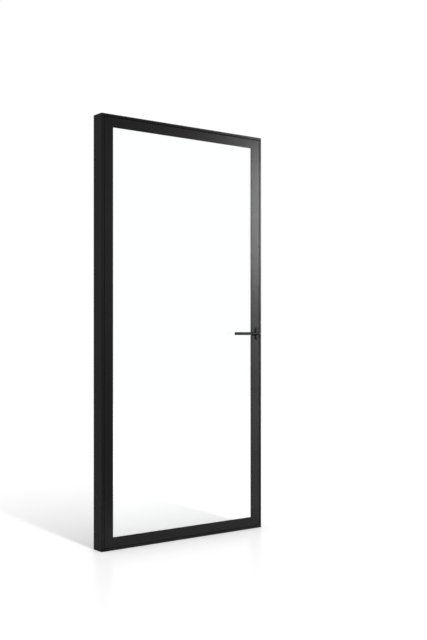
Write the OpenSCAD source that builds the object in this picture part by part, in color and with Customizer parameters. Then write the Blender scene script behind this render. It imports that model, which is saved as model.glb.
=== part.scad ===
// Glass door: a slim black aluminium frame, and in it a framed pane on two corner pivots.
// Turning the lever down throws one bolt up into the head and one down into the threshold.
// X runs from the hinge side to the handle side, Y from the front to the back, Z up from the floor.
// Profiles are drawn as (depth from the front face, distance in from the outer edge).

/* [Fixed frame] */
// Overall width of the frame
frame_w = 1000; // [750:5:1200]
// Overall height of the frame
frame_h = 2120; // [1900:5:2400]
// Depth of the frame profile, front to back
frame_d = 80; // [66:1:110]
// Face width of the frame profile
frame_face = 12; // [11.5:0.5:20]
// Wall of the frame profile
frame_wall = 2; // [1.5:0.1:2.5]
// Radius of the two outer edges of the frame profile
frame_arris = 3; // [2.5:0.5:5]
// Distance of the outer fixing holes from the ends of a jamb
fixing_inset = 220; // [150:10:400]
// Distance between the two inner fixing holes of a jamb
fixing_pitch = 560; // [300:10:800]
// Diameter of the fixing holes
fixing_d = 7; // [5:0.5:9]
// Length of each arm of the frame's corner cleats
frame_cleat_l = 70; // [40:5:120]
// Depth of the frame's corner cleats, front to back
frame_cleat_d = 40; // [20:1:44]

/* [Door stop] */
// Height of the clip-in stop above the frame's inner face
stop_h = 8; // [7:0.5:9]
// Depth of the stop, front to back
stop_d = 14; // [10:1:20]
// Radius of the stop's two free edges
stop_arris = 1; // [0.5:0.1:1.4]
// Wall of the hollow stop
stop_wall = 1.5; // [1:0.1:2]
// Width of the tongue that holds the stop in the frame
tongue_w = 4; // [3:0.5:6]
// Height of that tongue
tongue_h = 1; // [0.6:0.1:1.2]
// How far the bulb of the closing seal stands in front of the stop
seal_t = 3; // [2.6:0.1:4]
// Width of the bulb
seal_w = 4; // [3:0.2:4.4]
// Wall of the hollow bulb
seal_wall = 0.8; // [0.5:0.1:1]
// Width of the slot that the seal's foot snaps through
seal_slot = 1.6; // [1.2:0.1:2]
// Width of the barb behind that slot
barb_w = 3; // [2.4:0.1:4]
// Height of that barb
barb_h = 1; // [0.6:0.1:2]
// Room between the shut leaf and the seal
seal_gap = 1; // [1:0.1:2]

/* [Leaf] */
// Gap between the leaf and the frame all round
leaf_gap = 2; // [2:0.1:5]
// Thickness of the leaf
leaf_t = 22; // [21:0.5:30]
// Face width of the leaf's hinge stile and rails
leaf_face = 50; // [49:0.5:60]
// How much wider the lip of the lock stile is
lock_lip = 8; // [2:0.5:10]
// Wall of the leaf profile
leaf_wall = 2; // [1.6:0.1:2.4]
// Radius of the leaf's outer edges
leaf_arris = 3; // [2.8:0.1:4]
// Depth of the front part of the chamber, which holds the pivots and the bolt gear
hardware_d = 9.3; // [8.8:0.1:10]
// Length of each arm of the leaf's corner cleats
leaf_cleat_l = 80; // [50:5:120]

/* [Glazing] */
// Thickness of the toughened pane
glass_t = 8; // [5:0.5:9]
// Distance from the front face to the pane
glass_set = 7; // [6:0.5:9]
// Height of the lip that holds the pane at the front
lip_h = 18; // [16:0.5:19]
// Thickness of that lip
lip_t = 2.5; // [1.5:0.1:3.5]
// Chamfer on the lip's sight edge
lip_chamfer = 0.6; // [0.3:0.1:1]
// How far the pane reaches behind the lip
glass_cover = 15.5; // [14.5:0.1:16]
// Thickness of the gasket behind the pane
back_gasket_t = 3; // [2:0.1:4]
// Step from the sight edge of lip or bead back to its gasket
gasket_reveal = 0.8; // [0.3:0.1:1.5]
// How far the visible side of a gasket slopes towards the pane
gasket_slope = 1; // [0.4:0.1:1.5]
// Step from the lip's sight edge back to that of the beads
bead_set = 9; // [7:0.1:9.5]
// Chamfer on the sight edge of the glazing beads
bead_chamfer = 1.5; // [0.5:0.1:2]
// Depth, wall and height of the hook that snaps a bead into its groove
hook_size = 1; // [0.6:0.1:1.2]
// Distance from a bead down to the end of its hook
hook_drop = 2; // [1.5:0.1:2.5]
// Length of the setting blocks round the pane
block_l = 100; // [60:5:150]
// Distance of the setting blocks from the corners of the pane
block_inset = 150; // [100:10:200]

/* [Pivots] */
// Diameter of the pivot pins
pin_d = 6; // [4:0.5:6.5]
// How far a pivot pin reaches into the leaf
pin_l = 28; // [20:1:40]
// Wall of the pivot bushes
bush_wall = 1; // [0.6:0.1:1.2]
// Height of the pivot blocks
pivot_block_h = 50; // [45:1:80]
// Outer diameter of the thrust washer
washer_d = 12; // [10:0.5:13]

/* [Plates in the frame] */
// Thickness of the pivot and keeper plates
plate_t = 3; // [2:0.1:3.2]
// Width of the plates
plate_w = 8.8; // [7.5:0.1:9]
// Reach of a plate from its pin or hole to the near end
plate_near = 8; // [6:0.5:9]
// Reach of a plate from its pin or hole to the far end
plate_far = 40; // [36:1:60]
// Distance from the pin or hole to the first screw
screw_first = 15; // [13:0.5:18]
// Distance between the two screws of a plate
screw_pitch = 17; // [10:0.5:18]
// Diameter of the plate screws
screw_d = 3; // [2:0.5:3.5]
// Diameter of the screw heads
screw_head_d = 5.6; // [5:0.1:6.4]
// Length of the plate screws
screw_l = 7; // [5:0.5:9]

/* [Bolt gear] */
// Tooth module of the pinion and its two racks
tooth_module = 1; // [0.9:0.05:1]
// Number of teeth on the pinion
pinion_teeth = 14; // [14:2:16]
// Pressure angle of the teeth
pressure_angle = 25; // [22:1:26]
// Height of a tooth above the pitch line, in modules
tooth_top = 0.9; // [0.8:0.05:0.95]
// Depth of a tooth gap below the pitch line, in modules
tooth_bottom = 1.2; // [1.1:0.05:1.25]
// Step from the roots of the pinion's teeth down to its hub
hub_step = 0.4; // [0.2:0.1:0.5]
// Play between the teeth, along the pitch line
backlash = 0.16; // [0.1:0.02:0.3]
// Thickness of the rods behind their teeth
rod_t = 2.6; // [2:0.1:3]
// Diameter of the bolts at the rods' ends
bolt_d = 6; // [4:0.5:6.5]
// Length of the bolts
bolt_l = 60; // [50:1:90]
// Room round a bolt in its keeper
keeper_play = 0.6; // [0.4:0.1:1]
// How far the drawn bolts lie below the leaf's edge
bolt_recess = 0.5; // [0.2:0.1:2]
// Height of the gear case
case_h = 64; // [60:1:100]
// Sheet thickness of the gear case
case_wall = 0.8; // [0.6:0.1:1]
// Height of the rod guides
guide_h = 25; // [15:1:30]
// Distance of the middle guides from the spindle
guide_step = 450; // [200:10:700]

/* [Handle] */
// Height of the spindle above the floor
handle_z = 1055; // [900:5:1150]
// Length of the front lever from the spindle to its tip
lever_l = 172; // [120:1:200]
// Length of the back lever, the shorter of the two
back_lever_l = 104; // [80:1:200]
// Diameter of the round bar of the levers
lever_d = 15.5; // [12:0.5:17]
// Distance from the leaf's face to the middle of the grip
standoff = 28; // [26:0.5:50]
// Radius of the bend between neck and grip
lever_bend = 11; // [9.5:0.5:12]
// Radius of the rounded tip
tip_r = 5; // [2:0.5:5.5]
// Width of the square spindle
spindle_w = 6; // [4:0.5:6]
// How far the spindle reaches into each neck
spindle_grip = 16; // [12:0.5:18]
// Width of the oval rosettes
rosette_w = 22; // [20:0.5:23]
// Thickness of the rosettes
rosette_t = 5; // [4:0.5:6]
// Chamfer round the rosettes
rosette_chamfer = 1; // [0.5:0.1:1.3]
// Closed skin in front of the blind holes of the front rosette
rosette_skin = 1.5; // [1:0.1:2]
// Distance of the rosette bolts above and below the spindle
rosette_bolt_z = 21; // [18:0.5:24]
// Diameter of the rosette bolts
rosette_bolt_d = 4; // [3:0.5:5]
// Diameter of their heads
rosette_head_d = 7; // [6:0.5:8]
// Height of their heads
rosette_head_h = 2.5; // [2:0.1:3]
// Distance of a grub screw from the leaf's face
grub_out = 10; // [9:0.5:12]
// Diameter of the grub screws
grub_d = 4; // [3:0.5:5]

/* [Fits] */
// Clearance between pieces that are put together
fit = 0.1; // [0.05:0.01:0.15]
// Radial clearance of turning and sliding pieces
run_fit = 0.05; // [0.02:0.01:0.1]
// Side play of the gear inside its case
side_play = 0.2; // [0.1:0.05:0.4]
// Room between the levers and the parts of the leaf that they turn beside
lever_play = 0.3; // [0.2:0.05:0.5]

/* [Hidden] */
$fn = 64;
// Overshoot of cuts, so that no cut ends flush with a face
over = 1;

// The leaf sits flush with the front of the frame
face_y = -frame_d / 2;
leaf_z = frame_face + leaf_gap;
leaf_w = frame_w - 2 * leaf_z;
leaf_h = frame_h - 2 * leaf_z;
leaf_top = leaf_z + leaf_h;
leaf_left = -leaf_w / 2;
chamber_w = leaf_face - lip_h;
stop_y = leaf_t + seal_gap + seal_t;
fixing_y = (stop_y + stop_d + frame_d) / 2;
seal_mid = frame_face + stop_h / 2;

// Front part of the chamber
hardware_y = leaf_wall + fit;
hardware_mid = hardware_y + hardware_d / 2;
void_start = leaf_wall + fit;
void_end = chamber_w - leaf_wall - fit;

// Glazing
bead_t = leaf_t - glass_set - glass_t - back_gasket_t;
bead_y = leaf_t - bead_t;
pane_edge = leaf_face - glass_cover;
bead_edge = leaf_face - bead_set;
block_t = pane_edge - chamber_w;
gasket_start = pane_edge + hook_size;

// Pivots stand at the same distance from the leaf's edge and from its face
pivot_x = leaf_left + hardware_mid;
pivot_y = face_y + hardware_mid;
pin_r = pin_d / 2;
bush_r = pin_r + run_fit + bush_wall;

// Involute pinion and straight racks
gear_r = tooth_module * pinion_teeth / 2;
addendum = tooth_top * tooth_module;
dedendum = tooth_bottom * tooth_module;
base_r = gear_r * cos(pressure_angle);
root_r = gear_r - dedendum;
hub_r = root_r - hub_step;
tip_circle_r = gear_r + addendum;
rack_pitch = PI * tooth_module;
half_tooth = (rack_pitch - backlash) / 4;
throw = gear_r * PI / 2;
rack_root = gear_r + dedendum;
rod_x = rack_root + rod_t;
rack_back_teeth = ceil(throw / rack_pitch) + 1;
rack_tail = rack_back_teeth * rack_pitch;
gear_w = hardware_d - 2 * case_wall - 2 * side_play;
gear_y = hardware_y + case_wall + side_play;
bolt_x = rod_x - bolt_d / 2;
case_half = rod_x + side_play + case_wall;

// The gear case bears on the chamber's inner wall, and that places the spindle
handle_in = void_end - case_half;
spindle_x = leaf_w / 2 - handle_in;
spindle = [spindle_x, face_y, handle_z];
reach_up = leaf_top - handle_z;
reach_down = handle_z - leaf_z;
lever_r = lever_d / 2;
spindle_hole_r = hub_r + lever_play;

profile_colour = "#222120";
steel_colour = "#8d9094";
rubber_colour = "#151515";
plastic_colour = "#3a3b3d";
glass_colour = "#dfe9e8";

SIDES = ["left", "right", "top", "bottom"];

// Shared shapes

// Rectangle whose two corners on the outer edge are rounded
module outer_rounded(depth, reach, radius) {
    intersection() {
        square([depth, reach]);
        union() {
            translate([radius, 0]) square([depth - 2 * radius, reach]);
            translate([0, radius]) square([depth, reach]);
            for (x = [radius, depth - radius])
                translate([x, radius]) circle(r = radius);
        }
    }
}

// Bar along X with the child profile, cut at 45 degrees up to its reach and shortened there by cut
// What stands more than its reach above the outer edge, by extra, is cut square
module mitred_bar(length, reach, cut = 0, extra = 0) {
    intersection() {
        rotate([90, 0, 90]) linear_extrude(length) children();
        translate([0, frame_d + over, 0]) rotate([90, 0, 0]) linear_extrude(frame_d + 2 * over)
            polygon([
                [cut, 0],
                [length - cut, 0],
                [length - reach - cut, reach],
                [length - reach - cut, reach + extra],
                [reach + cut, reach + extra],
                [reach + cut, reach]
            ]);
    }
}

// Turns a bar that lies along the bottom of a rectangle to one of its four sides
module on_side(side, w, h) {
    if (side == "bottom") children();
    if (side == "top") translate([0, 0, h]) mirror([0, 0, 1]) children();
    if (side == "left") mirror([1, 0, 0]) rotate([0, -90, 0]) children();
    if (side == "right") translate([w, 0, 0]) rotate([0, -90, 0]) children();
}

module on_frame(side) {
    translate([-frame_w / 2, face_y, 0]) on_side(side, frame_w, frame_h) children();
}

module on_leaf(side) {
    translate([leaf_left, face_y, leaf_z]) on_side(side, leaf_w, leaf_h) children();
}

function is_upright(side) = side == "left" || side == "right";
function frame_length(side) = is_upright(side) ? frame_h : frame_w;
function leaf_length(side) = is_upright(side) ? leaf_h : leaf_w;
function extra_lip(side) = side == "right" ? lock_lip : 0;

// Places a corner piece at one corner of a w by h rectangle
module at_corner(top, lock, w, h) {
    translate([lock ? w : 0, 0, top ? h : 0])
        mirror([lock ? 1 : 0, 0, 0]) mirror([0, 0, top ? 1 : 0]) children();
}

// Solid corner cleat with two arms, filling a chamber from start to end
module cleat(start, end, arm, depth) {
    translate([start, 0, start]) cube([arm, depth, end - start]);
    translate([start, 0, start]) cube([end - start, depth, arm]);
}

// Cylinder along +Y
module rod_y(radius, length) {
    rotate([-90, 0, 0]) cylinder(r = radius, h = length);
}

// Fixed frame

module frame_section() {
    difference() {
        outer_rounded(frame_d, frame_face, frame_arris);
        translate([frame_wall, frame_wall])
            outer_rounded(frame_d - 2 * frame_wall, frame_face - 2 * frame_wall, frame_arris - frame_wall);
        translate([stop_y + (stop_d - tongue_w) / 2 - fit, frame_face - tongue_h - fit])
            square([tongue_w + 2 * fit, tongue_h + fit + over]);
    }
}

module frame_bar(side) {
    on_frame(side) mitred_bar(frame_length(side), frame_face) frame_section();
}

function fixing_places() = [
    fixing_inset, frame_h - fixing_inset, (frame_h - fixing_pitch) / 2, (frame_h + fixing_pitch) / 2
];

module jamb(side) {
    color(profile_colour) difference() {
        frame_bar(side);
        on_frame(side) for (place = fixing_places())
            translate([place, fixing_y, -over]) cylinder(d = fixing_d, h = frame_face + 2 * over);
    }
}

module hinge_jamb() { jamb("left"); }
module lock_jamb() { jamb("right"); }

module head() {
    color(profile_colour) difference() {
        frame_bar("top");
        at_plate("top_pivot") plate_screw_holes();
        at_plate("top_pivot") pin_hole();
        at_plate("head_keeper") plate_screw_holes();
        at_plate("head_keeper") bolt_hole();
    }
}

module threshold() {
    color(profile_colour) difference() {
        frame_bar("bottom");
        at_plate("bottom_pivot") plate_screw_holes();
        at_plate("bottom_pivot") pin_hole();
        at_plate("threshold_keeper") plate_screw_holes();
        at_plate("threshold_keeper") bolt_hole();
    }
}

module frame_cleat(top, lock) {
    color(steel_colour) translate([-frame_w / 2, frame_d / 2 - frame_arris - frame_cleat_d, 0])
        at_corner(top, lock, frame_w, frame_h)
            cleat(frame_wall + fit, frame_face - frame_wall - fit, frame_cleat_l, frame_cleat_d);
}

module frame_cleat_top_hinge() { frame_cleat(true, false); }
module frame_cleat_top_lock() { frame_cleat(true, true); }
module frame_cleat_bottom_hinge() { frame_cleat(false, false); }
module frame_cleat_bottom_lock() { frame_cleat(false, true); }

// Hollow stop with the tongue that clips into the frame and the slot for the seal's foot
module stop_section() {
    difference() {
        translate([stop_y, frame_face + stop_h]) mirror([0, 1]) outer_rounded(stop_d, stop_h, stop_arris);
        translate([stop_y + stop_wall, frame_face + stop_wall])
            square([stop_d - 2 * stop_wall, stop_h - 2 * stop_wall]);
        translate([stop_y - over, seal_mid - seal_slot / 2]) square([stop_wall + 2 * over, seal_slot]);
    }
    translate([stop_y + (stop_d - tongue_w) / 2, frame_face - tongue_h]) square([tongue_w, tongue_h]);
}

module stop_bar(side) {
    color(profile_colour) on_frame(side) mitred_bar(frame_length(side), frame_face + stop_h) stop_section();
}

module hinge_stop() { stop_bar("left"); }
module lock_stop() { stop_bar("right"); }
module head_stop() { stop_bar("top"); }
module threshold_stop() { stop_bar("bottom"); }

// Hollow bulb in front of the stop, with a foot that snaps through the stop's slot
module seal_section() {
    bulb_r = seal_w / 2;
    difference() {
        intersection() {
            translate([stop_y - seal_t, seal_mid - bulb_r]) square([seal_t, seal_w]);
            union() {
                translate([stop_y - seal_t + bulb_r, seal_mid]) circle(r = bulb_r);
                translate([stop_y - seal_t + bulb_r, seal_mid - bulb_r]) square([seal_t, seal_w]);
            }
        }
        translate([stop_y - seal_t / 2, seal_mid]) circle(r = seal_t / 2 - seal_wall);
    }
    translate([stop_y - fit, seal_mid - seal_slot / 2 + fit])
        square([stop_wall + 3 * fit, seal_slot - 2 * fit]);
    translate([stop_y + stop_wall + fit, seal_mid - barb_w / 2]) square([barb_h, barb_w]);
}

// Four lengths, cut a hair short so that their ends close up when they are pressed in
module closing_seal() {
    color(rubber_colour) for (side = SIDES)
        on_frame(side) mitred_bar(frame_length(side), frame_face + stop_h, fit) seal_section();
}

// Plates in the frame

// Puts a plate's pin or hole at its place on the frame's inner face: Z leads into the leaf, X along the plate
module at_plate(place) {
    top = place == "top_pivot" || place == "head_keeper";
    keeper = place == "head_keeper" || place == "threshold_keeper";
    keeper_x = spindle_x + (top ? bolt_x : -bolt_x);
    translate([keeper ? keeper_x : pivot_x, pivot_y, top ? frame_h - frame_face : frame_face])
        mirror([keeper ? 1 : 0, 0, 0]) mirror([0, 0, top ? 1 : 0]) children();
}

module each_plate_screw() {
    for (x = [screw_first, screw_first + screw_pitch])
        translate([x, 0, 0]) children();
}

// Countersunk screw, or with some play the hole that it sits in
module plate_screw(play) {
    cone_h = (screw_head_d - screw_d) / 2;
    translate([0, 0, -screw_l - play]) cylinder(d = screw_d + 2 * play, h = screw_l + play);
    translate([0, 0, -cone_h])
        cylinder(d1 = screw_d + 2 * play, d2 = screw_head_d + 2 * play, h = cone_h);
}

module plate_screw_holes() {
    each_plate_screw() plate_screw(fit);
}

// Round hole through the frame's inner wall and a plate behind it
module wall_hole(diameter) {
    depth = frame_wall + plate_t + 2 * over;
    translate([0, 0, over - depth]) cylinder(d = diameter, h = depth);
}

module pin_hole() { wall_hole(pin_d + 2 * fit); }
module bolt_hole() { wall_hole(bolt_d + 2 * keeper_play); }

// Plate that lies inside the chamber, against the frame's inner wall
module plate_blank() {
    difference() {
        translate([-plate_near, -plate_w / 2, -frame_wall - plate_t])
            cube([plate_near + plate_far, plate_w, plate_t]);
        plate_screw_holes();
    }
}

module pivot_plate() {
    color(steel_colour) union() {
        plate_blank();
        translate([0, 0, -frame_wall - plate_t])
            cylinder(r = pin_r, h = plate_t + frame_wall + leaf_gap + pin_l);
    }
}

module keeper_plate() {
    color(steel_colour) difference() {
        plate_blank();
        bolt_hole();
    }
}

module top_pivot_plate() { at_plate("top_pivot") pivot_plate(); }
module bottom_pivot_plate() { at_plate("bottom_pivot") pivot_plate(); }
module head_keeper() { at_plate("head_keeper") keeper_plate(); }
module threshold_keeper() { at_plate("threshold_keeper") keeper_plate(); }

module plate_screws() {
    color(steel_colour) for (place = ["top_pivot", "bottom_pivot", "head_keeper", "threshold_keeper"])
        at_plate(place) each_plate_screw() plate_screw(0);
}

// Carries the leaf on the threshold
module thrust_washer() {
    color(steel_colour) at_plate("bottom_pivot") difference() {
        cylinder(d = washer_d, h = leaf_gap);
        translate([0, 0, -over]) cylinder(r = pin_r + run_fit, h = leaf_gap + 2 * over);
    }
}

// Leaf

// Hollow chamber with a glazing lip at the front and a snap groove for the bead
module leaf_section(face) {
    difference() {
        union() {
            outer_rounded(leaf_t, chamber_w, leaf_arris);
            polygon([
                [0, leaf_arris],
                [lip_t, leaf_arris],
                [lip_t, face],
                [lip_chamfer, face],
                [0, face - lip_chamfer]
            ]);
        }
        translate([leaf_wall, leaf_wall]) square([leaf_t - 2 * leaf_wall, chamber_w - 2 * leaf_wall]);
        translate([bead_y - hook_drop - fit, chamber_w - hook_size - fit])
            square([hook_size + 2 * fit, hook_size + fit + over]);
    }
}

module leaf_bar(side) {
    extra = extra_lip(side);
    on_leaf(side) mitred_bar(leaf_length(side), leaf_face, 0, extra) leaf_section(leaf_face + extra);
}

module hinge_stile() { color(profile_colour) leaf_bar("left"); }

module lock_stile() {
    color(profile_colour) difference() {
        leaf_bar("right");
        translate(spindle) translate([0, -over, 0]) rod_y(spindle_hole_r, leaf_t + 2 * over);
        each_rosette_bolt() translate([0, -over, 0])
            rod_y(rosette_bolt_d / 2 + fit, leaf_t + 2 * over);
    }
}

// Clearance holes through the outer wall of a rail, for the pivot pin and the bolt
module rail_holes(z, lock_x) {
    translate([pivot_x, pivot_y, z - leaf_wall - over])
        cylinder(r = pin_r + lever_play, h = 2 * (leaf_wall + over));
    translate([lock_x, pivot_y, z - leaf_wall - over])
        cylinder(d = bolt_d + 2 * lever_play, h = 2 * (leaf_wall + over));
}

module top_rail() {
    color(profile_colour) difference() {
        leaf_bar("top");
        rail_holes(leaf_top, spindle_x + bolt_x);
    }
}

module bottom_rail() {
    color(profile_colour) difference() {
        leaf_bar("bottom");
        rail_holes(leaf_z, spindle_x - bolt_x);
    }
}

// The cleats fill the chamber behind the pivots and the rods
module leaf_cleat(top, lock) {
    cleat_y = hardware_y + hardware_d + lever_play;
    color(steel_colour) translate([leaf_left, face_y + cleat_y, leaf_z])
        at_corner(top, lock, leaf_w, leaf_h)
            cleat(void_start, void_end, leaf_cleat_l, leaf_t - leaf_wall - fit - cleat_y);
}

module leaf_cleat_top_hinge() { leaf_cleat(true, false); }
module leaf_cleat_top_lock() { leaf_cleat(true, true); }
module leaf_cleat_bottom_hinge() { leaf_cleat(false, false); }
module leaf_cleat_bottom_lock() { leaf_cleat(false, true); }

// Glazing

module glass_pane() {
    color(glass_colour, 0.4) translate([leaf_left + pane_edge, face_y + glass_set, leaf_z + pane_edge])
        cube([leaf_w - 2 * pane_edge, glass_t, leaf_h - 2 * pane_edge]);
}

// Wedge between the pane and a seat, with its sight side sloping from the seat's edge to the pane
// Like the closing seal, it is cut a hair short at its mitres
module gasket_bar(side, seat_y, pane_y, edge, extra) {
    on_leaf(side) mitred_bar(leaf_length(side), leaf_face, fit, extra) polygon([
        [seat_y, gasket_start],
        [pane_y, gasket_start],
        [pane_y, edge + extra - gasket_slope],
        [seat_y, edge + extra]
    ]);
}

module front_gasket() {
    color(rubber_colour) for (side = SIDES)
        gasket_bar(side, lip_t, glass_set, leaf_face - gasket_reveal, extra_lip(side));
}

module back_gasket() {
    color(rubber_colour) for (side = SIDES)
        gasket_bar(side, bead_y, glass_set + glass_t, bead_edge - gasket_reveal, 0);
}

// Packers between the pane's edge and the chamber, two on each side
module setting_blocks() {
    color(plastic_colour) for (side = SIDES)
        on_leaf(side) for (end = [block_inset, leaf_length(side) - block_inset - block_l])
            translate([end, glass_set, chamber_w]) cube([block_l, glass_t, block_t]);
}

// Bead with a chamfered sight edge and a hook that snaps into the profile
module bead_section() {
    polygon([
        [bead_y, chamber_w],
        [leaf_t, chamber_w],
        [leaf_t, bead_edge - bead_chamfer],
        [leaf_t - bead_chamfer, bead_edge],
        [bead_y, bead_edge]
    ]);
    translate([bead_y - hook_drop, chamber_w]) square([hook_drop, hook_size]);
    translate([bead_y - hook_drop, chamber_w - hook_size]) square([hook_size, hook_size]);
}

module bead(side) {
    color(profile_colour) on_leaf(side) mitred_bar(leaf_length(side), leaf_face) bead_section();
}

module hinge_bead() { bead("left"); }
module lock_bead() { bead("right"); }
module top_bead() { bead("top"); }
module bottom_bead() { bead("bottom"); }

// Pivots in the leaf

// Z leads into the leaf from its edge at the pivot
module at_leaf_pivot(top) {
    translate([pivot_x, pivot_y, top ? leaf_top : leaf_z]) mirror([0, 0, top ? 1 : 0]) children();
}

module pivot_block(top) {
    color(steel_colour) at_leaf_pivot(top) difference() {
        translate([void_start - hardware_mid, -hardware_d / 2, void_start])
            cube([void_end - void_start, hardware_d, pivot_block_h]);
        translate([0, 0, void_start - over]) cylinder(r = bush_r, h = pin_l + over);
    }
}

module bush(top) {
    color("#9a7b3c") at_leaf_pivot(top) translate([0, 0, void_start]) difference() {
        cylinder(r = bush_r, h = pin_l);
        translate([0, 0, -over]) cylinder(r = pin_r + run_fit, h = pin_l + 2 * over);
    }
}

module top_pivot_block() { pivot_block(true); }
module bottom_pivot_block() { pivot_block(false); }
module top_bush() { bush(true); }
module bottom_bush() { bush(false); }

// Bolt gear

module each_rosette_bolt() {
    for (z = [-rosette_bolt_z, rosette_bolt_z])
        translate(spindle) translate([0, 0, z]) children();
}

module case_holes() {
    translate(spindle) rod_y(hub_r + run_fit, leaf_t);
    each_rosette_bolt() rod_y(rosette_bolt_d / 2 + fit, leaf_t);
}

// Folded tray, open above and below for the rods and closed by the cover
module gear_case() {
    color(steel_colour) difference() {
        translate(spindle) translate([-case_half, hardware_y, -case_h / 2])
            cube([2 * case_half, hardware_d - case_wall, case_h]);
        translate(spindle) translate([case_wall - case_half, hardware_y + case_wall, -case_h / 2 - over])
            cube([2 * (case_half - case_wall), hardware_d, case_h + 2 * over]);
        case_holes();
    }
}

module gear_case_cover() {
    color(steel_colour) difference() {
        translate(spindle) translate([-case_half, hardware_y + hardware_d - case_wall, -case_h / 2])
            cube([2 * case_half, case_wall, case_h]);
        case_holes();
    }
}

// Involute of the base circle: the angle turned between the base circle and radius r
function involute(r) = tan(acos(base_r / r)) * 180 / PI - acos(base_r / r);
// Half the angle of a pinion tooth at radius r
function tooth_angle(r) = half_tooth / gear_r * 180 / PI + involute(gear_r) - involute(max(r, base_r));
function polar(r, angle) = [r * cos(angle), r * sin(angle)];

module pinion_tooth() {
    flank_steps = 4;
    radii = concat([hub_r], [for (i = [0:flank_steps]) base_r + (tip_circle_r - base_r) * i / flank_steps]);
    last = len(radii) - 1;
    polygon(concat(
        [for (i = [0:last]) polar(radii[i], -tooth_angle(radii[i]))],
        [for (i = [last:-1:0]) polar(radii[i], tooth_angle(radii[i]))]
    ));
}

module pinion() {
    color(steel_colour) translate(spindle) difference() {
        union() {
            translate([0, gear_y + gear_w, 0]) rotate([90, 0, 0]) linear_extrude(gear_w) {
                circle(r = root_r);
                for (i = [0:pinion_teeth - 1]) rotate(i * 360 / pinion_teeth) pinion_tooth();
            }
            translate([0, hardware_y, 0]) rod_y(hub_r, hardware_d);
        }
        translate([0, hardware_mid, 0])
            cube([spindle_w + 2 * run_fit, hardware_d + 2 * over, spindle_w + 2 * run_fit], center = true);
    }
}

// Straight-sided rack with a gap opposite the spindle
module rack_section(length) {
    slope = tan(pressure_angle);
    translate([rack_root, -rack_tail]) square([rod_t, rack_tail + length]);
    for (i = [-rack_back_teeth:1]) translate([0, (i + 0.5) * rack_pitch]) polygon([
        [gear_r - addendum, half_tooth - addendum * slope],
        [rack_root, half_tooth + dedendum * slope],
        [rack_root + rod_t / 2, half_tooth + dedendum * slope],
        [rack_root + rod_t / 2, -half_tooth - dedendum * slope],
        [rack_root, -half_tooth - dedendum * slope],
        [gear_r - addendum, addendum * slope - half_tooth]
    ]);
}

// Flat rod with a rack at the gear and a round bolt at the leaf's edge
module bolt_rod(reach) {
    color(steel_colour) union() {
        translate([0, gear_y + gear_w, 0]) rotate([90, 0, 0]) linear_extrude(gear_w)
            rack_section(reach - bolt_l + bolt_d);
        translate([bolt_x, hardware_mid, reach - bolt_l]) cylinder(d = bolt_d, h = bolt_l - bolt_recess);
    }
}

module top_bolt() { translate(spindle) bolt_rod(reach_up); }
module bottom_bolt() { translate(spindle) rotate([0, 180, 0]) bolt_rod(reach_down); }

// Plastic block across the front of the chamber, with its lower face at z
module guide_block(z) {
    translate([handle_in - void_end, hardware_y, z]) cube([void_end - void_start, hardware_d, guide_h]);
}

// Slot for the flat part of a rod
module rod_slot() {
    translate([rack_root - run_fit, gear_y - run_fit, -over])
        cube([rod_t + 2 * run_fit, gear_w + 2 * run_fit, guide_step + guide_h + 2 * over]);
}

// Bore for a bolt
module bolt_bore(reach) {
    translate([bolt_x, hardware_mid, 0]) cylinder(d = bolt_d + 2 * run_fit, h = reach);
}

module rod_guides() {
    color(plastic_colour) translate(spindle) {
        difference() {
            guide_block(guide_step);
            rod_slot();
        }
        difference() {
            guide_block(-guide_step - guide_h);
            rotate([0, 180, 0]) rod_slot();
        }
        difference() {
            guide_block(reach_up - void_start - guide_h);
            bolt_bore(reach_up);
        }
        difference() {
            guide_block(void_start - reach_down);
            rotate([0, 180, 0]) bolt_bore(reach_down);
        }
    }
}

// Handle

// Oval plate that stands off its seat at y = 0 towards -Y, with a chamfer and the hole for a lever's neck
module rosette_plate() {
    rim_r = rosette_w / 2;
    flat_r = rim_r - rosette_chamfer;
    rim_t = rosette_t - rosette_chamfer;
    difference() {
        union() {
            translate([0, 0, -rosette_bolt_z]) linear_extrude(2 * rosette_bolt_z) polygon([
                [-rim_r, 0],
                [-rim_r, -rim_t],
                [-flat_r, -rosette_t],
                [flat_r, -rosette_t],
                [rim_r, -rim_t],
                [rim_r, 0]
            ]);
            for (z = [-rosette_bolt_z, rosette_bolt_z]) translate([0, 0, z]) rotate([90, 0, 0]) {
                cylinder(r = rim_r, h = rim_t);
                translate([0, 0, rim_t]) cylinder(r1 = rim_r, r2 = flat_r, h = rosette_chamfer);
            }
        }
        translate([0, -rosette_t - over, 0]) rod_y(lever_r + lever_play, rosette_t + 2 * over);
    }
}

// The front rosette takes the ends of the bolts in blind holes
module front_rosette() {
    color(profile_colour) difference() {
        translate(spindle) rosette_plate();
        each_rosette_bolt() translate([0, rosette_skin - rosette_t, 0])
            rod_y(rosette_bolt_d / 2 + fit, rosette_t);
    }
}

module back_rosette() {
    color(profile_colour) difference() {
        translate(spindle) translate([0, leaf_t, 0]) mirror([0, 1, 0]) rosette_plate();
        each_rosette_bolt() translate([0, leaf_t - over, 0])
            rod_y(rosette_bolt_d / 2 + fit, rosette_t + 2 * over);
        each_rosette_bolt() translate([0, leaf_t + rosette_t - rosette_head_h, 0])
            rod_y(rosette_head_d / 2 + fit, rosette_head_h + over);
    }
}

module rosette_bolts() {
    shank_start = rosette_skin + fit - rosette_t;
    head_start = leaf_t + rosette_t - rosette_head_h;
    color(steel_colour) each_rosette_bolt() {
        translate([0, shank_start, 0]) rod_y(rosette_bolt_d / 2, head_start - shank_start);
        translate([0, head_start, 0]) rod_y(rosette_head_d / 2, rosette_head_h);
    }
}

// Turned bar with a rounded tip, as half a lengthwise section
module grip_section(length) {
    square([lever_r, length - tip_r]);
    square([lever_r - tip_r, length]);
    intersection() {
        square([lever_r, length]);
        translate([lever_r - tip_r, length - tip_r]) circle(r = tip_r);
    }
}

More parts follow.
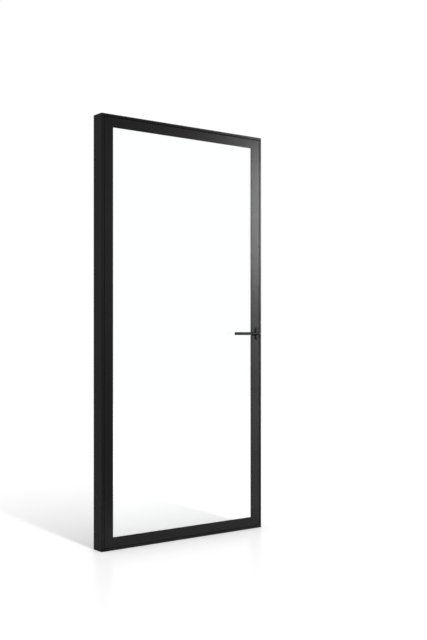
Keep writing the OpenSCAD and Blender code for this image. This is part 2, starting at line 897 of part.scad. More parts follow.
// Lever with its neck along -Y, a swept bend and its grip along -X
module lever(length) {
    neck_l = standoff - lever_bend;
    socket_w = spindle_w + 2 * run_fit;
    color(profile_colour) difference() {
        union() {
            translate([0, -neck_l, 0]) rod_y(lever_r, neck_l - lever_play);
            translate([-lever_bend, -neck_l, 0]) rotate([0, 0, -90])
                rotate_extrude(angle = 90) translate([lever_bend, 0]) circle(r = lever_r);
            translate([-lever_bend, -standoff, 0]) rotate([0, -90, 0])
                rotate_extrude() grip_section(length - lever_bend);
        }
        translate([-socket_w / 2, -spindle_grip - fit, -socket_w / 2])
            cube([socket_w, spindle_grip + fit + over, socket_w]);
        translate([0, -grub_out, -lever_r - over]) cylinder(d = grub_d + 2 * run_fit, h = lever_r + over);
    }
}

module front_lever() { translate(spindle) lever(lever_l); }
module back_lever() { translate(spindle) translate([0, leaf_t, 0]) mirror([0, 1, 0]) lever(back_lever_l); }

module spindle_bar() {
    color(steel_colour) translate(spindle) translate([-spindle_w / 2, -spindle_grip, -spindle_w / 2])
        cube([spindle_w, leaf_t + 2 * spindle_grip, spindle_w]);
}

// One screw in the underside of each neck, pressing on the spindle
module grub_screws() {
    color(steel_colour) translate(spindle) for (y = [-grub_out, leaf_t + grub_out])
        translate([0, y, lever_play - lever_r])
            cylinder(d = grub_d, h = lever_r - lever_play - spindle_w / 2);
}

hinge_jamb();
lock_jamb();
head();
threshold();
frame_cleat_top_hinge();
frame_cleat_top_lock();
frame_cleat_bottom_hinge();
frame_cleat_bottom_lock();
hinge_stop();
lock_stop();
head_stop();
threshold_stop();
closing_seal();
top_pivot_plate();
bottom_pivot_plate();
thrust_washer();
head_keeper();
threshold_keeper();
plate_screws();
hinge_stile();
lock_stile();
top_rail();
bottom_rail();
leaf_cleat_top_hinge();
leaf_cleat_top_lock();
leaf_cleat_bottom_hinge();
leaf_cleat_bottom_lock();
glass_pane();
front_gasket();
back_gasket();
setting_blocks();
hinge_bead();
lock_bead();
top_bead();
bottom_bead();
top_pivot_block();
bottom_pivot_block();
top_bush();
bottom_bush();
gear_case();
gear_case_cover();
rod_guides();
front_rosette();
back_rosette();
rosette_bolts();
front_lever();
back_lever();
spindle_bar();
pinion();
grub_screws();
top_bolt();
bottom_bolt();
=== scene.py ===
"""Finishes for the glass door, and the white studio that it stands in."""

import math

import bpy
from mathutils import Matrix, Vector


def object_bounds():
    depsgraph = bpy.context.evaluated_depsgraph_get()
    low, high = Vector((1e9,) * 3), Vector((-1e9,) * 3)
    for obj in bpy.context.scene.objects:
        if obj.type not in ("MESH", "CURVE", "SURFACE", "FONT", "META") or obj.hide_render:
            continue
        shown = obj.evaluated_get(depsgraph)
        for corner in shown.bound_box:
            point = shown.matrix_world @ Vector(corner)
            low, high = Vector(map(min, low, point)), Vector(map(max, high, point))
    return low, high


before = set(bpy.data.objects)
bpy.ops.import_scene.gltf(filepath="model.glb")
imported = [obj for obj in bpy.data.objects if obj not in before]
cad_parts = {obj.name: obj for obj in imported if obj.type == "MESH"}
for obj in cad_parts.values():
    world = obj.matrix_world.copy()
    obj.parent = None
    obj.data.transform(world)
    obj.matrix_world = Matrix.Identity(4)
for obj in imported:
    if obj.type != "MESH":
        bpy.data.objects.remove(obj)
cad_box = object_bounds()

bl_info = {
    "name": "Glass Door Finishes",
    "version": (1, 0, 0),
    "blender": (4, 5, 0),
    "location": "View3D > Sidebar > Glass Door",
    "description": "Coats the profiles and handle, glazes the leaf and sets up a white studio",
    "category": "Object",
}

MM = 0.001

# Nodes of the door that share a finish
FRAME_PROFILES = ("hinge_jamb", "lock_jamb", "head", "threshold")
STOP_PROFILES = ("hinge_stop", "lock_stop", "head_stop", "threshold_stop")
LEAF_PROFILES = ("hinge_stile", "lock_stile", "top_rail", "bottom_rail")
GLAZING_BEADS = ("hinge_bead", "lock_bead", "top_bead", "bottom_bead")
HANDLE_PARTS = ("front_lever", "back_lever", "front_rosette", "back_rosette")
SEALS = ("closing_seal", "front_gasket", "back_gasket")
GAP_STEEL = (
    "top_pivot_plate", "bottom_pivot_plate", "thrust_washer", "head_keeper", "threshold_keeper",
    "plate_screws", "top_pivot_block", "bottom_pivot_block", "top_bolt", "bottom_bolt",
)
GEAR_STEEL = (
    "gear_case", "gear_case_cover", "rosette_bolts", "spindle_bar", "pinion", "grub_screws",
)
CORNER_CLEATS = (
    "frame_cleat_top_hinge", "frame_cleat_top_lock",
    "frame_cleat_bottom_hinge", "frame_cleat_bottom_lock",
    "leaf_cleat_top_hinge", "leaf_cleat_top_lock",
    "leaf_cleat_bottom_hinge", "leaf_cleat_bottom_lock",
)
PLASTIC_PARTS = ("setting_blocks", "rod_guides")
BUSHES = ("top_bush", "bottom_bush")
COATED_PARTS = FRAME_PROFILES + STOP_PROFILES + LEAF_PROFILES + GLAZING_BEADS + HANDLE_PARTS

# How far the colour of a finish strays to the dark and to the light, as shares of itself
FILM_TONES = (-0.08, 0.08)
POLISH_TONES = (-0.1, 0.1)
BLOOM_TONES = (-0.15, 0.4)
CRYSTAL_TONES = (-0.08, 0.08)
DIE_LINE_TONES = (-0.1, 0.06)
GRAIN_TONES = (-0.2, 0.2)
PORE_TONES = (-0.5, 0.0)

# How far the roughness of a coat strays to either side
FILM_SPREAD = 0.02
POLISH_SPREAD = 0.05

# Strength and height of the relief in a surface
PEEL_RELIEF = {"Strength": 0.08, "Distance": 0.02 * MM}
WAVE_RELIEF = {"Strength": 0.2, "Distance": 0.05 * MM}
GRAIN_RELIEF = {"Strength": 0.3, "Distance": 0.05 * MM}

# Widths of the patterns in the small parts
CRYSTAL_SIZE = 3 * MM
DIE_LINE_PITCH = 1 * MM
DIE_LINE_STRETCH = (1.0, 0.02, 1.0)
GRAIN_SIZE = 1 * MM
PORE_SIZE = 0.6 * MM

# Roughness of the small parts, and the mirror of rubber and glass
STEEL_ROUGHNESS = (0.28, 0.4)
ALUMINIUM_ROUGHNESS = 0.42
NYLON_ROUGHNESS = 0.55
BRONZE_ROUGHNESS = 0.45
RUBBER_ROUGHNESS = 0.8
RUBBER_GLOSS = 0.2
GLASS_IOR = 1.52

# Upward part of a face's direction at which dust starts to lie on it, and at which it covers it
DUST_SLOPE = (0.6, 0.9)
# Radians by which Blender's wave pattern turns for each unit of its scale
WAVE_TURN = 20
# Crystals and pores reach this far from their middles, in units of their own size
CRYSTAL_REACH = 0.7
PORE_REACH = 0.3

WHITE = (1.0, 1.0, 1.0, 1.0)
SENSOR_WIDTH = 36.0

# Overhead strip: how far off, how high, how far to the left, its width and its length
STRIP_DISTANCE = 60.0
STRIP_RISE = math.radians(63)
STRIP_DRIFT = math.radians(3)
STRIP_SIZE = (3.0, 56.0)

# Lamps that only the coated parts mirror: name, place, tilt and turn in degrees, width and height,
# and the stage's level that each takes, with its share of that level
MIRRORED_LAMPS = (
    ("upper_softbox", (3.53, -3.1, 2.29), 90, 40, 0.3, 1.36, "softbox_level", 1.0),
    ("middle_softbox", (3.53, -3.1, 0.98), 90, 40, 0.3, 1.24, "softbox_level", 0.22),
    ("low_panel", (0.86, -0.5, 0.33), 90, 40, 0.3, 0.66, "panel_level", 1.0),
    ("floor_panel", (0.3, -0.451, 0.001), 180, 0, 1.5, 0.82, "floor_panel_level", 1.0),
    ("back_softbox", (3.3, 3.1, 1.3), 90, 137, 0.7, 2.4, "back_level", 1.0),
)


def linear(code):
    """Turns an sRGB hex colour into linear red, green, blue and alpha."""
    shades = [int(code[i:i + 2], 16) / 255 for i in (1, 3, 5)]
    return (*[c / 12.92 if c <= 0.04045 else ((c + 0.055) / 1.055) ** 2.4 for c in shades], 1.0)


def shaded(colour, share):
    """The same linear colour, lighter or darker by a share of itself."""
    return (*[min(1.0, c * (1 + share)) for c in colour[:3]], 1.0)


def per_metre(size):
    """Scale of a noise pattern whose features are this many metres across."""
    return 1 / size


def add(tree, kind, inputs=None, **settings):
    """Adds a node, sets its settings, and fills or links its inputs."""
    node = tree.nodes.new(kind)
    for key, value in settings.items():
        setattr(node, key, value)
    for socket, value in (inputs or {}).items():
        if isinstance(value, bpy.types.NodeSocket):
            tree.links.new(value, node.inputs[socket])
        else:
            node.inputs[socket].default_value = value
    return node


def new_material(name):
    """An empty material with node tree, ready for its shader."""
    material = bpy.data.materials.new(name)
    material.use_nodes = True
    material.node_tree.nodes.clear()
    return material, material.node_tree


def dress(nodes, material):
    """Gives each named node of the door this material."""
    for name in nodes:
        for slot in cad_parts[name].material_slots:
            slot.material = material


def powder_coat(finish):
    """Extruded aluminium, sprayed with black powder and baked: satin, with a fine orange peel."""
    material, tree = new_material("powder_coated_aluminium")
    place = add(tree, "ShaderNodeTexCoord")
    # Slow clouds where the film is thicker: black and gloss shift a little across a hand's width
    clouds = add(tree, "ShaderNodeTexNoise", {
        "Vector": place.outputs["Object"], "Scale": per_metre(finish.film_size), "Detail": 2.0})
    tone = add(tree, "ShaderNodeValToRGB", {"Fac": clouds.outputs["Fac"]})
    tone.color_ramp.elements[0].color = shaded(finish.profile_colour, FILM_TONES[0])
    tone.color_ramp.elements[1].color = shaded(finish.profile_colour, FILM_TONES[1])
    gloss = add(tree, "ShaderNodeMapRange", {
        "Value": clouds.outputs["Fac"],
        "To Min": finish.profile_roughness - FILM_SPREAD,
        "To Max": finish.profile_roughness + FILM_SPREAD})
    # Dust settles on the faces that look up and turns them matt
    facing = add(tree, "ShaderNodeSeparateXYZ", {0: place.outputs["Normal"]})
    dust = add(tree, "ShaderNodeMapRange", {
        "Value": facing.outputs["Z"], "From Min": DUST_SLOPE[0], "From Max": DUST_SLOPE[1],
        "To Max": finish.dust_roughness})
    matt = add(tree, "ShaderNodeMath", {
        0: gloss.outputs["Result"], 1: dust.outputs["Result"]}, operation="MAXIMUM")
    # Real peel is about 1 mm across; it is drawn coarser, or it would not show from some metres off
    peel = add(tree, "ShaderNodeTexNoise", {
        "Vector": place.outputs["Object"], "Scale": per_metre(finish.peel_size), "Detail": 1.0})
    bump = add(tree, "ShaderNodeBump", {
        "Height": peel.outputs["Fac"], **PEEL_RELIEF})
    shader = add(tree, "ShaderNodeBsdfPrincipled", {
        "Base Color": tone.outputs["Color"], "Roughness": matt.outputs[0],
        "Specular IOR Level": finish.profile_gloss, "Normal": bump.outputs["Normal"]})
    add(tree, "ShaderNodeOutputMaterial", {"Surface": shader.outputs["BSDF"]})
    return material


def handle_coat(finish):
    """Turned aluminium with a thin black coat: a soft sheen, polished in patches by hands."""
    material, tree = new_material("coated_turned_aluminium")
    place = add(tree, "ShaderNodeTexCoord")
    # Hands polish the coat in patches a few centimetres long
    polish = add(tree, "ShaderNodeTexNoise", {
        "Vector": place.outputs["Object"], "Scale": per_metre(finish.polish_size), "Detail": 2.0})
    tone = add(tree, "ShaderNodeValToRGB", {"Fac": polish.outputs["Fac"]})
    tone.color_ramp.elements[0].color = shaded(finish.handle_colour, POLISH_TONES[0])
    tone.color_ramp.elements[1].color = shaded(finish.handle_colour, POLISH_TONES[1])
    gloss = add(tree, "ShaderNodeMapRange", {
        "Value": polish.outputs["Fac"],
        "To Min": finish.handle_roughness - POLISH_SPREAD,
        "To Max": finish.handle_roughness + POLISH_SPREAD})
    shader = add(tree, "ShaderNodeBsdfPrincipled", {
        "Base Color": tone.outputs["Color"], "Roughness": gloss.outputs["Result"],
        "Specular IOR Level": finish.handle_gloss})
    add(tree, "ShaderNodeOutputMaterial", {"Surface": shader.outputs["BSDF"]})
    return material


def clear_glass(finish):
    """Toughened float glass, coated to mirror less: clear, with the slow wave of the rollers."""
    material, tree = new_material("toughened_float_glass")
    place = add(tree, "ShaderNodeTexCoord")
    # The rollers leave a wave along the height, seen only as a slight sway in what the pane mirrors
    wave = add(tree, "ShaderNodeTexWave", {
        "Vector": place.outputs["Object"], "Distortion": 0.4, "Detail": 1.0,
        "Scale": per_metre(finish.roller_pitch) * math.tau / WAVE_TURN}, bands_direction="Z")
    bump = add(tree, "ShaderNodeBump", {
        "Height": wave.outputs["Fac"], **WAVE_RELIEF})
    shader = add(tree, "ShaderNodeBsdfPrincipled", {
        "Base Color": finish.glass_colour, "Roughness": 0.0, "IOR": GLASS_IOR,
        "Specular Tint": finish.glass_mirror, "Transmission Weight": 1.0,
        "Normal": bump.outputs["Normal"]})
    add(tree, "ShaderNodeOutputMaterial", {"Surface": shader.outputs["BSDF"]})
    return material


def seal_rubber(finish):
    """Extruded EPDM rubber: matt black with a grey bloom in soft patches."""
    material, tree = new_material("extruded_epdm_rubber")
    place = add(tree, "ShaderNodeTexCoord")
    bloom = add(tree, "ShaderNodeTexNoise", {
        "Vector": place.outputs["Object"], "Scale": per_metre(finish.bloom_size), "Detail": 3.0})
    tone = add(tree, "ShaderNodeValToRGB", {"Fac": bloom.outputs["Fac"]})
    tone.color_ramp.elements[0].color = shaded(finish.rubber_colour, BLOOM_TONES[0])
    tone.color_ramp.elements[1].color = shaded(finish.rubber_colour, BLOOM_TONES[1])
    shader = add(tree, "ShaderNodeBsdfPrincipled", {
        "Base Color": tone.outputs["Color"], "Roughness": RUBBER_ROUGHNESS,
        "Specular IOR Level": RUBBER_GLOSS})
    add(tree, "ShaderNodeOutputMaterial", {"Surface": shader.outputs["BSDF"]})
    return material


def plated_steel(name, colour):
    """Zinc plated steel: a metal with fine crystals that scatter the light unevenly."""
    material, tree = new_material(name)
    place = add(tree, "ShaderNodeTexCoord")
    # Plating crystals are far below a millimetre; they are drawn wide enough to show
    crystals = add(tree, "ShaderNodeTexVoronoi", {
        "Vector": place.outputs["Object"], "Scale": per_metre(CRYSTAL_SIZE)})
    tone = add(tree, "ShaderNodeValToRGB", {"Fac": crystals.outputs["Color"]})
    tone.color_ramp.elements[0].color = shaded(colour, CRYSTAL_TONES[0])
    tone.color_ramp.elements[1].color = shaded(colour, CRYSTAL_TONES[1])
    gloss = add(tree, "ShaderNodeMapRange", {
        "Value": crystals.outputs["Distance"], "From Max": CRYSTAL_REACH,
        "To Min": STEEL_ROUGHNESS[0], "To Max": STEEL_ROUGHNESS[1]})
    shader = add(tree, "ShaderNodeBsdfPrincipled", {
        "Base Color": tone.outputs["Color"], "Metallic": 1.0, "Roughness": gloss.outputs["Result"]})
    add(tree, "ShaderNodeOutputMaterial", {"Surface": shader.outputs["BSDF"]})
    return material


def mill_aluminium(finish):
    """Sawn lengths of extruded aluminium, left bare: pale, with die lines front to back."""
    material, tree = new_material("mill_finish_aluminium")
    place = add(tree, "ShaderNodeTexCoord")
    # Die lines run with the extrusion; they are drawn further apart than real ones, so they show
    stretch = add(tree, "ShaderNodeMapping", {
        "Vector": place.outputs["Object"], "Scale": DIE_LINE_STRETCH})
    lines = add(tree, "ShaderNodeTexNoise", {
        "Vector": stretch.outputs["Vector"], "Scale": per_metre(DIE_LINE_PITCH), "Detail": 2.0})
    tone = add(tree, "ShaderNodeValToRGB", {"Fac": lines.outputs["Fac"]})
    tone.color_ramp.elements[0].color = shaded(finish.aluminium_colour, DIE_LINE_TONES[0])
    tone.color_ramp.elements[1].color = shaded(finish.aluminium_colour, DIE_LINE_TONES[1])
    shader = add(tree, "ShaderNodeBsdfPrincipled", {
        "Base Color": tone.outputs["Color"], "Metallic": 1.0, "Roughness": ALUMINIUM_ROUGHNESS})
    add(tree, "ShaderNodeOutputMaterial", {"Surface": shader.outputs["BSDF"]})
    return material


def moulded_nylon(finish):
    """Moulded nylon with glass fibre: dark grey, with the dull grain of a spark-eroded mould."""
    material, tree = new_material("moulded_nylon")
    place = add(tree, "ShaderNodeTexCoord")
    grain = add(tree, "ShaderNodeTexNoise", {
        "Vector": place.outputs["Object"], "Scale": per_metre(GRAIN_SIZE), "Detail": 2.0})
    tone = add(tree, "ShaderNodeValToRGB", {"Fac": grain.outputs["Fac"]})
    tone.color_ramp.elements[0].color = shaded(finish.plastic_colour, GRAIN_TONES[0])
    tone.color_ramp.elements[1].color = shaded(finish.plastic_colour, GRAIN_TONES[1])
    bump = add(tree, "ShaderNodeBump", {
        "Height": grain.outputs["Fac"], **GRAIN_RELIEF})
    shader = add(tree, "ShaderNodeBsdfPrincipled", {
        "Base Color": tone.outputs["Color"], "Roughness": NYLON_ROUGHNESS,
        "Normal": bump.outputs["Normal"]})
    add(tree, "ShaderNodeOutputMaterial", {"Surface": shader.outputs["BSDF"]})
    return material


def sintered_bronze(finish):
    """Pressed and sintered bronze powder: brown gold, speckled with dark oil-filled pores."""
    material, tree = new_material("sintered_bronze")
    place = add(tree, "ShaderNodeTexCoord")
    # Pores are about 0.1 mm; they are drawn wider so that they show
    pores = add(tree, "ShaderNodeTexVoronoi", {
        "Vector": place.outputs["Object"], "Scale": per_metre(PORE_SIZE)})
    tone = add(tree, "ShaderNodeValToRGB", {"Fac": pores.outputs["Distance"]})
    tone.color_ramp.elements[0].color = shaded(finish.bronze_colour, PORE_TONES[0])
    tone.color_ramp.elements[1].color = shaded(finish.bronze_colour, PORE_TONES[1])
    tone.color_ramp.elements[1].position = PORE_REACH
    shader = add(tree, "ShaderNodeBsdfPrincipled", {
        "Base Color": tone.outputs["Color"], "Metallic": 1.0, "Roughness": BRONZE_ROUGHNESS})
    add(tree, "ShaderNodeOutputMaterial", {"Surface": shader.outputs["BSDF"]})
    return material


def seen_ray(tree):
    """Output: 1 for what is seen, also in a mirror or through glass, and 0 for what lights."""
    path = add(tree, "ShaderNodeLightPath")
    mirrored = add(tree, "ShaderNodeMath", {
        0: path.outputs["Is Camera Ray"], 1: path.outputs["Is Glossy Ray"]}, operation="MAXIMUM")
    seen = add(tree, "ShaderNodeMath", {
        0: mirrored.outputs[0], 1: path.outputs["Is Transmission Ray"]}, operation="MAXIMUM")
    return seen.outputs[0]


def studio_floor_paint(stage):
    """White floor paint with a thin lacquer: almost white, with a faint blurred mirror image."""
    material, tree = new_material("lacquered_floor_paint")
    lift = add(tree, "ShaderNodeMath", {
        0: seen_ray(tree), 1: stage.floor_lift}, operation="MULTIPLY")
    # Painted light: the floor glows brighter where it is seen through the pane, a painted veil that
    # lightens the shadow there as the pane's reflection of the white room would
    path = add(tree, "ShaderNodeLightPath")
    glow = add(tree, "ShaderNodeMath", {
        0: path.outputs["Is Transmission Ray"], 1: stage.pane_lift, 2: lift.outputs[0]},
        operation="MULTIPLY_ADD")
    shader = add(tree, "ShaderNodeBsdfPrincipled", {
        "Base Color": stage.floor_colour, "Roughness": stage.floor_roughness,
        "Specular IOR Level": stage.floor_gloss,
        "Emission Color": WHITE, "Emission Strength": glow.outputs[0]})
    add(tree, "ShaderNodeOutputMaterial", {"Surface": shader.outputs["BSDF"]})
    return material


class GlassDoorFinish(bpy.types.PropertyGroup):
    """Colours and surface sizes of the door's finishes."""

    profile_colour: bpy.props.FloatVectorProperty(
        name="Profile colour", description="Powder coat on frame, stops, leaf and beads",
        subtype="COLOR", size=4, min=0.0, max=1.0, default=linear("#1b1a1a"))
    profile_roughness: bpy.props.FloatProperty(
        name="Profile roughness", description="How far the coat spreads a highlight",
        subtype="FACTOR", min=0.05, max=0.95, default=0.27)
    profile_gloss: bpy.props.FloatProperty(
        name="Profile gloss", description="How much light the coat mirrors, 0.5 for plain lacquer",
        subtype="FACTOR", min=0.0, max=1.0, default=0.03)
    film_size: bpy.props.FloatProperty(
        name="Film clouds", description="Width of the soft clouds in the coat",
        subtype="DISTANCE", unit="LENGTH", min=10 * MM, default=90 * MM)
    peel_size: bpy.props.FloatProperty(
        name="Orange peel", description="Width of the orange peel in the coat",
        subtype="DISTANCE", unit="LENGTH", min=0.5 * MM, default=4 * MM)
    dust_roughness: bpy.props.FloatProperty(
        name="Dust roughness",
        description="Roughness of profile faces that look up and gather dust",
        subtype="FACTOR", min=0.0, max=1.0, default=0.9)
    handle_colour: bpy.props.FloatVectorProperty(
        name="Handle colour", description="Coat on levers and rosettes",
        subtype="COLOR", size=4, min=0.0, max=1.0, default=linear("#1b1a1a"))
    handle_roughness: bpy.props.FloatProperty(
        name="Handle roughness", description="How far the handle spreads a highlight",
        subtype="FACTOR", min=0.05, max=0.95, default=0.36)
    handle_gloss: bpy.props.FloatProperty(
        name="Handle gloss", description="How much light the handle mirrors, 0.5 for plain lacquer",
        subtype="FACTOR", min=0.0, max=1.0, default=0.025)
    polish_size: bpy.props.FloatProperty(
        name="Hand polish", description="Length of the patches that hands have polished",
        subtype="DISTANCE", unit="LENGTH", min=5 * MM, default=35 * MM)
    glass_colour: bpy.props.FloatVectorProperty(
        name="Glass colour", description="Tint of the pane",
        subtype="COLOR", size=4, min=0.0, max=1.0, default=linear("#feffff"))
    glass_mirror: bpy.props.FloatVectorProperty(
        name="Glass mirror", description="Tint of what the pane mirrors, white for uncoated glass",
        subtype="COLOR", size=4, min=0.0, max=1.0, default=linear("#969696"))
    roller_pitch: bpy.props.FloatProperty(
        name="Roller wave", description="Pitch of the wave that toughening leaves in the pane",
        subtype="DISTANCE", unit="LENGTH", min=50 * MM, default=280 * MM)
    rubber_colour: bpy.props.FloatVectorProperty(
        name="Rubber colour", description="Seals and gaskets",
        subtype="COLOR", size=4, min=0.0, max=1.0, default=linear("#141414"))
    bloom_size: bpy.props.FloatProperty(
        name="Rubber bloom", description="Width of the grey patches on the rubber",
        subtype="DISTANCE", unit="LENGTH", min=2 * MM, default=20 * MM)
    steel_colour: bpy.props.FloatVectorProperty(
        name="Steel colour", description="Gear case, pinion, spindle and their screws",
        subtype="COLOR", size=4, min=0.0, max=1.0, default=linear("#b4b7bb"))
    black_zinc_colour: bpy.props.FloatVectorProperty(
        name="Black zinc colour",
        description="Pivots, keepers and bolts, which show in the gap round the leaf",
        subtype="COLOR", size=4, min=0.0, max=1.0, default=linear("#26272a"))
    aluminium_colour: bpy.props.FloatVectorProperty(
        name="Aluminium colour", description="Corner cleats",
        subtype="COLOR", size=4, min=0.0, max=1.0, default=linear("#cfd1d3"))
    plastic_colour: bpy.props.FloatVectorProperty(
        name="Plastic colour", description="Setting blocks and rod guides",
        subtype="COLOR", size=4, min=0.0, max=1.0, default=linear("#3a3b3d"))
    bronze_colour: bpy.props.FloatVectorProperty(
        name="Bronze colour", description="Pivot bushes",
        subtype="COLOR", size=4, min=0.0, max=1.0, default=linear("#b08d4a"))


class GlassDoorStage(bpy.types.PropertyGroup):
    """Floor, light and camera of the studio."""

    floor_colour: bpy.props.FloatVectorProperty(
        name="Floor colour", description="Paint of the studio floor",
        subtype="COLOR", size=4, min=0.0, max=1.0, default=linear("#fafafa"))
    floor_size: bpy.props.FloatProperty(
        name="Floor size", description="Side of the square floor",
        subtype="DISTANCE", unit="LENGTH", min=4.0, default=17.0)
    floor_roughness: bpy.props.FloatProperty(
        name="Floor roughness", description="Blur of the mirror image in the floor",
        subtype="FACTOR", min=0.0, max=1.0, default=0.3)
    floor_gloss: bpy.props.FloatProperty(
        name="Floor gloss", description="How much light the floor's lacquer mirrors",
        subtype="FACTOR", min=0.0, max=1.0, default=0.05)
    floor_lift: bpy.props.FloatProperty(
        name="Floor lift",
        description="Light added to the floor as it is seen, so that it meets the white background",
        min=0.0, max=1.0, default=0.12)
    pane_lift: bpy.props.FloatProperty(
        name="Pane lift", description="Light added to the floor where it is seen through the pane",
        min=0.0, max=1.0, default=0.1)
    surround: bpy.props.FloatProperty(
        name="Surround", description="Light on the door from the white room all round",
        min=0.0, max=2.0, default=0.6)
    key_level: bpy.props.FloatProperty(
        name="Key level",
        description="Share of the floor's light that comes from the long overhead strip",
        min=0.0, max=2.0, default=0.43)
    softbox_level: bpy.props.FloatProperty(
        name="Softbox level",
        description="Brightness of the narrow softboxes that the handle side mirrors",
        min=0.0, max=1000.0, default=460.0)
    panel_level: bpy.props.FloatProperty(
        name="Panel level", description="Brightness of the low panel that the coat mirrors",
        min=0.0, max=100.0, default=6.5)
    floor_panel_level: bpy.props.FloatProperty(
        name="Floor panel level",
        description="Brightness of the flat panel that threshold and bottom rail mirror",
        min=0.0, max=100.0, default=3.5)
    back_level: bpy.props.FloatProperty(
        name="Back level",
        description="Brightness of the softbox that the back of the door mirrors",
        min=0.0, max=1000.0, default=60.0)
    lens: bpy.props.FloatProperty(
        name="Lens", description="Focal length on a 36 mm sensor",
        unit="CAMERA", min=10.0, max=200.0, default=53.54)
    camera_place: bpy.props.FloatVectorProperty(
        name="Camera place", description="Where the camera stands",
        subtype="TRANSLATION", unit="LENGTH", size=3, default=(-2.8272, -4.0287, 1.0469))
    camera_yaw: bpy.props.FloatProperty(
        name="Camera turn", description="How far the camera turns to its right from straight ahead",
        subtype="ANGLE", unit="ROTATION", default=math.radians(36.959))
    camera_rise: bpy.props.FloatProperty(
        name="Camera rise",
        description="Upward shift of the lens, as a share of the picture's height",
        subtype="FACTOR", min=-0.5, max=0.5, default=0.0236)


class GLASSDOOR_OT_profiles(bpy.types.Operator):
    """Powder coat the frame, the stops, the leaf and its glazing beads"""

    bl_idname = "glass_door.profiles"
    bl_label = "Coat the profiles"

    def execute(self, context):
        coat = powder_coat(context.scene.glass_door_finish)
        dress(FRAME_PROFILES + STOP_PROFILES + LEAF_PROFILES + GLAZING_BEADS, coat)
        return {"FINISHED"}


class GLASSDOOR_OT_handle(bpy.types.Operator):
    """Coat the levers and their rosettes"""

    bl_idname = "glass_door.handle"
    bl_label = "Coat the handle"

    def execute(self, context):
        dress(HANDLE_PARTS, handle_coat(context.scene.glass_door_finish))
        return {"FINISHED"}


class GLASSDOOR_OT_pane(bpy.types.Operator):
    """Glaze the leaf with clear toughened glass"""

    bl_idname = "glass_door.pane"
    bl_label = "Glaze the leaf"

    def execute(self, context):
        dress(("glass_pane",), clear_glass(context.scene.glass_door_finish))
        return {"FINISHED"}


class GLASSDOOR_OT_seals(bpy.types.Operator):
    """Give the closing seal and the gaskets their rubber"""

    bl_idname = "glass_door.seals"
    bl_label = "Finish the seals"

    def execute(self, context):
        dress(SEALS, seal_rubber(context.scene.glass_door_finish))
        return {"FINISHED"}


class GLASSDOOR_OT_hardware(bpy.types.Operator):
    """Plate the pivots, keepers, screws, gear and bolts"""

    bl_idname = "glass_door.hardware"
    bl_label = "Plate the hardware"

    def execute(self, context):
        finish = context.scene.glass_door_finish
        dress(GEAR_STEEL, plated_steel("zinc_plated_steel", finish.steel_colour))
        # Passivated black, so that nothing pale shows in the gap
        dress(GAP_STEEL, plated_steel("black_zinc_plated_steel", finish.black_zinc_colour))
        return {"FINISHED"}


class GLASSDOOR_OT_cleats(bpy.types.Operator):
    """Leave the corner cleats in bare aluminium"""

    bl_idname = "glass_door.cleats"
    bl_label = "Finish the corner cleats"

    def execute(self, context):
        dress(CORNER_CLEATS, mill_aluminium(context.scene.glass_door_finish))
        return {"FINISHED"}


class GLASSDOOR_OT_plastics(bpy.types.Operator):
    """Give the setting blocks and rod guides their nylon"""

    bl_idname = "glass_door.plastics"
    bl_label = "Finish the plastic parts"

    def execute(self, context):
        dress(PLASTIC_PARTS, moulded_nylon(context.scene.glass_door_finish))
        return {"FINISHED"}


class GLASSDOOR_OT_bushes(bpy.types.Operator):
    """Give the pivot bushes their bronze"""

    bl_idname = "glass_door.bushes"
    bl_label = "Finish the bushes"

    def execute(self, context):
        dress(BUSHES, sintered_bronze(context.scene.glass_door_finish))
        return {"FINISHED"}


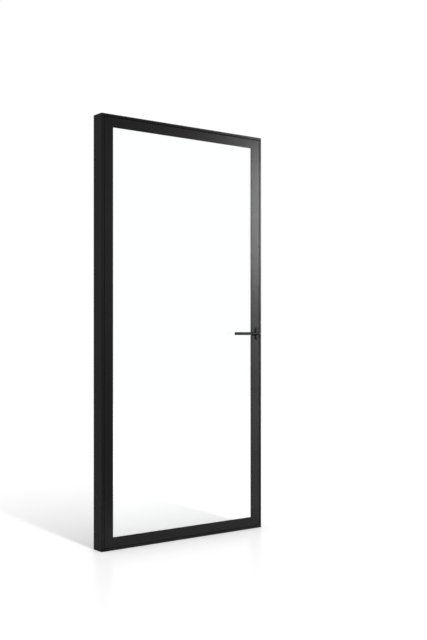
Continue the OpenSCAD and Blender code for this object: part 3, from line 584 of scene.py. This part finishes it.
class GLASSDOOR_OT_studio(bpy.types.Operator):
    """Set up the white floor, the light and the camera"""

    bl_idname = "glass_door.studio"
    bl_label = "Set up the studio"

    def execute(self, context):
        stage = context.scene.glass_door_stage
        self.lay_floor(context, stage)
        self.light_surround(context, stage)
        self.hang_strip(context, stage)
        self.stand_lamps(context, stage)
        self.place_camera(context, stage)
        context.scene.view_settings.view_transform = "Standard"
        return {"FINISHED"}

    def lay_floor(self, context, stage):
        half = stage.floor_size / 2
        mesh = bpy.data.meshes.new("studio_floor")
        corners = [(-half, -half, 0), (half, -half, 0), (half, half, 0), (-half, half, 0)]
        mesh.from_pydata(corners, [], [(0, 1, 2, 3)])
        floor = bpy.data.objects.new("studio_floor", mesh)
        floor.location.z = cad_box[0].z
        context.scene.collection.objects.link(floor)
        mesh.materials.append(studio_floor_paint(stage))

    def light_surround(self, context, stage):
        world = bpy.data.worlds.new("white_room")
        world.use_nodes = True
        context.scene.world = world
        tree = world.node_tree
        tree.nodes.clear()
        light = add(tree, "ShaderNodeBackground", {
            "Color": WHITE, "Strength": stage.surround})
        backdrop = add(tree, "ShaderNodeBackground", {"Color": WHITE, "Strength": 1.0})
        mix = add(tree, "ShaderNodeMixShader", {
            0: seen_ray(tree), 1: light.outputs[0], 2: backdrop.outputs[0]})
        add(tree, "ShaderNodeOutputWorld", {"Surface": mix.outputs[0]})

    def hang_strip(self, context, stage):
        # Far off and long from front to back, so the shadow has crisp sides and fades with distance
        strip = self.new_lamp(context, "overhead_strip", *STRIP_SIZE)
        strip.location = (
            -STRIP_DISTANCE * math.cos(STRIP_RISE) * math.sin(STRIP_DRIFT),
            -STRIP_DISTANCE * math.cos(STRIP_RISE) * math.cos(STRIP_DRIFT),
            STRIP_DISTANCE * math.sin(STRIP_RISE))
        strip.rotation_euler = (math.pi / 2 - STRIP_RISE, 0, -STRIP_DRIFT)
        # Power that gives a white floor this share of its brightness
        full_power = math.pi * math.pi * STRIP_DISTANCE ** 2 / math.sin(STRIP_RISE)
        strip.data.energy = stage.key_level * full_power
        strip.visible_transmission = False
        strip.visible_glossy = False

    def stand_lamps(self, context, stage):
        # Each stands where a coated face reflects it: the softboxes turn the handle side's black to
        # grey upwards, the panels lift the door's foot, and the back one gives the rear a sheen
        coated = bpy.data.collections.new("coated_parts")
        for name in COATED_PARTS:
            coated.objects.link(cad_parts[name])
        for name, place, tilt, turn, wide, high, level, share in MIRRORED_LAMPS:
            lamp = self.new_lamp(context, name, wide, high)
            lamp.location = place
            lamp.rotation_euler = (math.radians(tilt), 0, math.radians(turn))
            lamp.data.energy = share * getattr(stage, level) * math.pi * wide * high
            lamp.visible_diffuse = False
            lamp.visible_transmission = False
            lamp.light_linking.receiver_collection = coated

    def new_lamp(self, context, name, wide, high):
        lamp = bpy.data.lights.new(name, "AREA")
        lamp.shape = "RECTANGLE"
        lamp.size = wide
        lamp.size_y = high
        holder = bpy.data.objects.new(name, lamp)
        holder.visible_camera = False
        context.scene.collection.objects.link(holder)
        return holder

    def place_camera(self, context, stage):
        lens = bpy.data.cameras.new("studio_camera")
        lens.lens = stage.lens
        lens.sensor_width = SENSOR_WIDTH
        lens.shift_y = stage.camera_rise
        lens.dof.use_dof = False
        camera = bpy.data.objects.new("studio_camera", lens)
        camera.location = stage.camera_place
        camera.rotation_euler = (math.pi / 2, 0, -stage.camera_yaw)
        context.scene.collection.objects.link(camera)
        context.scene.camera = camera


class GLASSDOOR_PT_sidebar(bpy.types.Panel):
    """Buttons and settings for the glass door"""

    bl_idname = "GLASSDOOR_PT_sidebar"
    bl_label = "Glass Door"
    bl_space_type = "VIEW_3D"
    bl_region_type = "UI"
    bl_category = "Glass Door"

    def draw(self, context):
        for operator in OPERATORS:
            self.layout.operator(operator.bl_idname)
        for group in (context.scene.glass_door_finish, context.scene.glass_door_stage):
            box = self.layout.box()
            for name in group.bl_rna.properties.keys():
                if name not in {"rna_type", "name"}:
                    box.prop(group, name)


OPERATORS = (
    GLASSDOOR_OT_profiles, GLASSDOOR_OT_handle, GLASSDOOR_OT_pane, GLASSDOOR_OT_seals,
    GLASSDOOR_OT_hardware, GLASSDOOR_OT_cleats, GLASSDOOR_OT_plastics, GLASSDOOR_OT_bushes,
    GLASSDOOR_OT_studio,
)
CLASSES = (GlassDoorFinish, GlassDoorStage, *OPERATORS, GLASSDOOR_PT_sidebar)


def register():
    for cls in CLASSES:
        bpy.utils.register_class(cls)
    bpy.types.Scene.glass_door_finish = bpy.props.PointerProperty(type=GlassDoorFinish)
    bpy.types.Scene.glass_door_stage = bpy.props.PointerProperty(type=GlassDoorStage)


def unregister():
    del bpy.types.Scene.glass_door_stage
    del bpy.types.Scene.glass_door_finish
    for cls in reversed(CLASSES):
        bpy.utils.unregister_class(cls)


def main():
    register()
    bpy.ops.glass_door.profiles()
    bpy.ops.glass_door.handle()
    bpy.ops.glass_door.pane()
    bpy.ops.glass_door.seals()
    bpy.ops.glass_door.hardware()
    bpy.ops.glass_door.cleats()
    bpy.ops.glass_door.plastics()
    bpy.ops.glass_door.bushes()
    bpy.ops.glass_door.studio()


if __name__ == "__main__":
    main()
